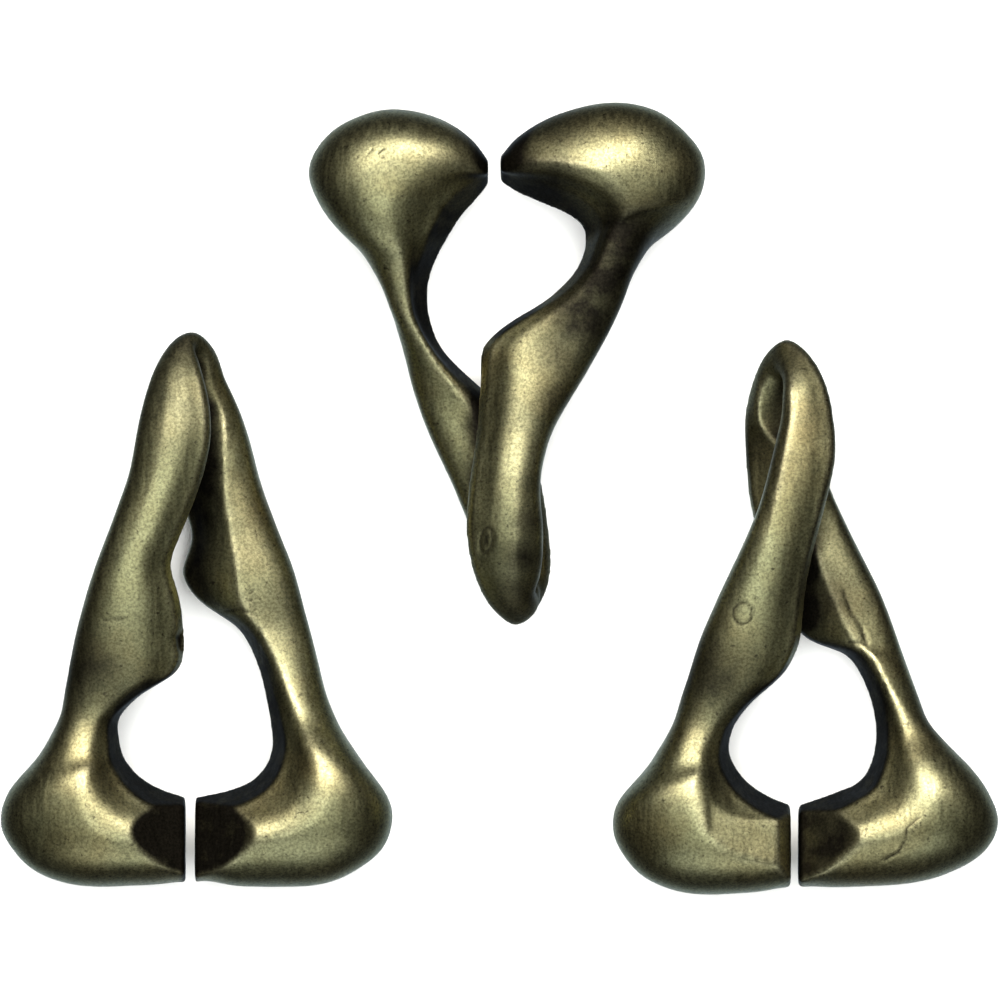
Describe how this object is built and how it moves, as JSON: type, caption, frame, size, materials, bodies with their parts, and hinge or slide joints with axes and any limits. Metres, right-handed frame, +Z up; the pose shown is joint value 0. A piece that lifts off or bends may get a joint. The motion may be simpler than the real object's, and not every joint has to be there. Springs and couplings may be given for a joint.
{
  "type": "metal ring disentanglement puzzle",
  "caption": "Disentanglement puzzle of solid cast metal rings, each open at a narrow slit between two bulbs, with broad twisting arms that meet at an apex, in antique brass.",
  "frame": {"origin": "middle of the layout's footprint, on the surface that the rings lie on", "axes": "+X to the right along the layout's width, +Y towards the apexes of the two lower rings, +Z up from the surface"},
  "size_m": [0.0898, 0.0712, 0.0122],
  "materials": {
    "antique_brass": "antique plated, satin, darkened in the recesses and burnished on the high places"
  },
  "bodies": {
    "left_ring": {"ring_left": "antique_brass"},
    "top_ring": {"ring_top": "antique_brass"},
    "right_ring": {"ring_right": "antique_brass"}
  },
  "joints": [
    {"name": "ring_top_lift", "type": "slide", "parent": "left_ring", "child": "top_ring", "axis": [0, 0, 1], "range_m": [0, 0.06]},
    {"name": "ring_right_lift", "type": "slide", "parent": "left_ring", "child": "right_ring", "axis": [0, 0, 1], "range_m": [0, 0.06]}
  ]
}
